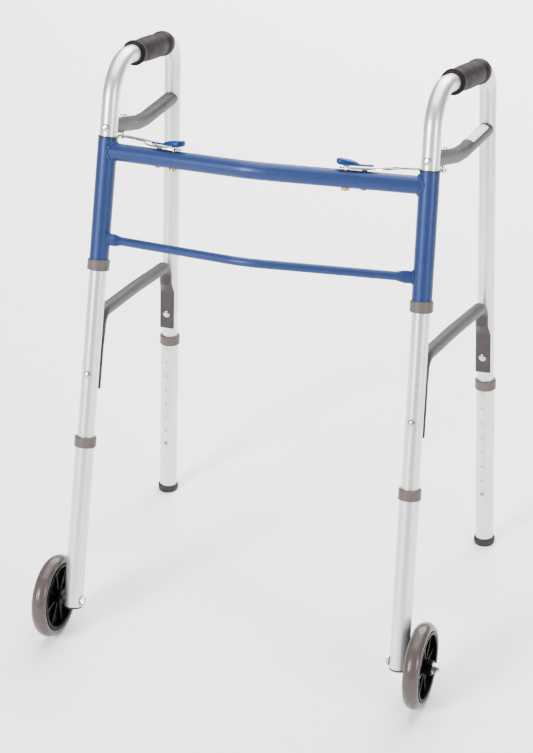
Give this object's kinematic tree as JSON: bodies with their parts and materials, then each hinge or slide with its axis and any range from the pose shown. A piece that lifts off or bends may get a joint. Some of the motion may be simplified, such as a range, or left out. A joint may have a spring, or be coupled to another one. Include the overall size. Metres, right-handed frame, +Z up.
{
  "type": "walking frame",
  "caption": "Folding walking frame with bent tube sides, twin crossbars, moulded grips, front wheels and height-adjustable legs.",
  "frame": {"origin": "on the floor, at the middle of the box round the whole frame", "axes": "+Z up; -Y is the way the user walks, so the crossbars and wheels are at -Y; X = 0 is the middle plane between the side frames"},
  "size_m": [0.6356, 0.5679, 0.8425],
  "materials": {
    "anodised_aluminium": "satin",
    "blue_enamel": "metallic gloss",
    "grey_enamel": "satin",
    "grip_vinyl": "soft matt",
    "grey_plastic": "satin",
    "black_plastic": "satin",
    "blue_plastic": "gloss",
    "brass": "satin",
    "zinc": "zinc plated",
    "dark_steel": "oiled",
    "tip_rubber": "matt",
    "tyre_rubber": "moulded gloss",
    "black_gloss": "gloss"
  },
  "bodies": {
    "front_frame": {"upper_crossbar": "blue_enamel", "lower_crossbar": "blue_enamel", "right_front_sleeve": "blue_enamel", "right_sleeve_bush": "black_plastic", "right_catch_rivet": "dark_steel", "left_front_sleeve": "blue_enamel", "left_sleeve_bush": "black_plastic", "left_catch_rivet": "dark_steel"},
    "right_side_frame": {"right_side_tube": "anodised_aluminium", "right_hand_grip": "grip_vinyl", "right_upper_brace": "grey_enamel", "right_lower_brace": "grey_enamel", "right_stop_collar": "grey_plastic", "right_brace_rivets": "zinc", "right_link_bolt": "zinc"},
    "right_lock_link": {"right_lock_link": "zinc", "right_link_tip": "black_plastic"},
    "right_release": {"right_release_paddle": "blue_plastic", "right_lock_plunger": "brass"},
    "right_front_leg": {"right_front_leg_tube": "anodised_aluminium", "right_front_leg_collar": "grey_plastic", "right_front_leg_plug": "black_plastic", "right_axle_bolt": "zinc", "right_axle_spacer": "zinc", "right_axle_nut": "zinc"},
    "right_rear_leg": {"right_rear_leg_tube": "anodised_aluminium", "right_rear_leg_collar": "grey_plastic", "right_rear_tip": "tip_rubber"},
    "right_wheel": {"right_tyre": "tyre_rubber", "right_wheel_hub": "black_gloss"},
    "right_front_button": {"right_front_snap_button": "brass"},
    "right_rear_button": {"right_rear_snap_button": "brass"},
    "left_side_frame": {"left_side_tube": "anodised_aluminium", "left_hand_grip": "grip_vinyl", "left_upper_brace": "grey_enamel", "left_lower_brace": "grey_enamel", "left_stop_collar": "grey_plastic", "left_brace_rivets": "zinc", "left_link_bolt": "zinc"},
    "left_lock_link": {"left_lock_link": "zinc", "left_link_tip": "black_plastic"},
    "left_release": {"left_release_paddle": "blue_plastic", "left_lock_plunger": "brass"},
    "left_front_leg": {"left_front_leg_tube": "anodised_aluminium", "left_front_leg_collar": "grey_plastic", "left_front_leg_plug": "black_plastic", "left_axle_bolt": "zinc", "left_axle_spacer": "zinc", "left_axle_nut": "zinc"},
    "left_rear_leg": {"left_rear_leg_tube": "anodised_aluminium", "left_rear_leg_collar": "grey_plastic", "left_rear_tip": "tip_rubber"},
    "left_wheel": {"left_tyre": "tyre_rubber", "left_wheel_hub": "black_gloss"},
    "left_front_button": {"left_front_snap_button": "brass"},
    "left_rear_button": {"left_rear_snap_button": "brass"}
  },
  "joints": [
    {"name": "right_fold", "type": "hinge", "parent": "front_frame", "child": "right_side_frame", "pos_m": [0.2394, -0.00527, 0.7354], "axis": [-0.0268, 0.3048, 0.952], "range_deg": [0, 84]},
    {"name": "right_link_pivot", "type": "hinge", "parent": "right_side_frame", "child": "right_lock_link", "pos_m": [0.24262, 0.04823, 0.71584], "axis": [-0.0268, 0.3048, 0.952], "range_deg": [-84, 0]},
    {"name": "right_release_press", "type": "slide", "parent": "front_frame", "child": "right_release", "axis": [0.0268, -0.3048, -0.952], "range_m": [0, 0.002], "stiffness_N_per_m": 1500, "springref_m": -0.002},
    {"name": "right_front_leg_slide", "type": "slide", "parent": "right_side_frame", "child": "right_front_leg", "axis": [0.0268, -0.3048, -0.952], "range_m": [0, 0.1524]},
    {"name": "right_rear_leg_slide", "type": "slide", "parent": "right_side_frame", "child": "right_rear_leg", "axis": [0.038, -0.0948, -0.9948], "range_m": [0, 0.1524]},
    {"name": "right_wheel_spin", "type": "hinge", "parent": "right_front_leg", "child": "right_wheel", "pos_m": [0.25832, -0.22036, 0.0635], "axis": [1, 0, 0], "continuous": true},
    {"name": "right_front_button_press", "type": "slide", "parent": "right_side_frame", "child": "right_front_button", "axis": [-0.0554, -0.9514, 0.303], "range_m": [0, 0.004], "stiffness_N_per_m": 1500, "springref_m": -0.002},
    {"name": "right_rear_button_press", "type": "slide", "parent": "right_side_frame", "child": "right_rear_button", "axis": [0.0484, 0.9945, -0.0929], "range_m": [0, 0.004], "stiffness_N_per_m": 1500, "springref_m": -0.002},
    {"name": "left_fold", "type": "hinge", "parent": "front_frame", "child": "left_side_frame", "pos_m": [-0.2394, -0.00527, 0.7354], "axis": [-0.0268, -0.3048, -0.952], "range_deg": [0, 65]},
    {"name": "left_link_pivot", "type": "hinge", "parent": "left_side_frame", "child": "left_lock_link", "pos_m": [-0.24262, 0.04823, 0.71584], "axis": [-0.0268, -0.3048, -0.952], "range_deg": [-65, 0]},
    {"name": "left_release_press", "type": "slide", "parent": "front_frame", "child": "left_release", "axis": [-0.0268, -0.3048, -0.952], "range_m": [0, 0.002], "stiffness_N_per_m": 1500, "springref_m": -0.002},
    {"name": "left_front_leg_slide", "type": "slide", "parent": "left_side_frame", "child": "left_front_leg", "axis": [-0.0268, -0.3048, -0.952], "range_m": [0, 0.1524]},
    {"name": "left_rear_leg_slide", "type": "slide", "parent": "left_side_frame", "child": "left_rear_leg", "axis": [-0.038, -0.0948, -0.9948], "range_m": [0, 0.1524]},
    {"name": "left_wheel_spin", "type": "hinge", "parent": "left_front_leg", "child": "left_wheel", "pos_m": [-0.25832, -0.22036, 0.0635], "axis": [1, 0, 0], "continuous": true},
    {"name": "left_front_button_press", "type": "slide", "parent": "left_side_frame", "child": "left_front_button", "axis": [0.0554, -0.9514, 0.303], "range_m": [0, 0.004], "stiffness_N_per_m": 1500, "springref_m": -0.002},
    {"name": "left_rear_button_press", "type": "slide", "parent": "left_side_frame", "child": "left_rear_button", "axis": [-0.0484, 0.9945, -0.0929], "range_m": [0, 0.004], "stiffness_N_per_m": 1500, "springref_m": -0.002}
  ],
  "couplings": [
    {"joint": "right_link_pivot", "follows": "right_fold", "ratio": -1},
    {"joint": "left_link_pivot", "follows": "left_fold", "ratio": -1}
  ]
}
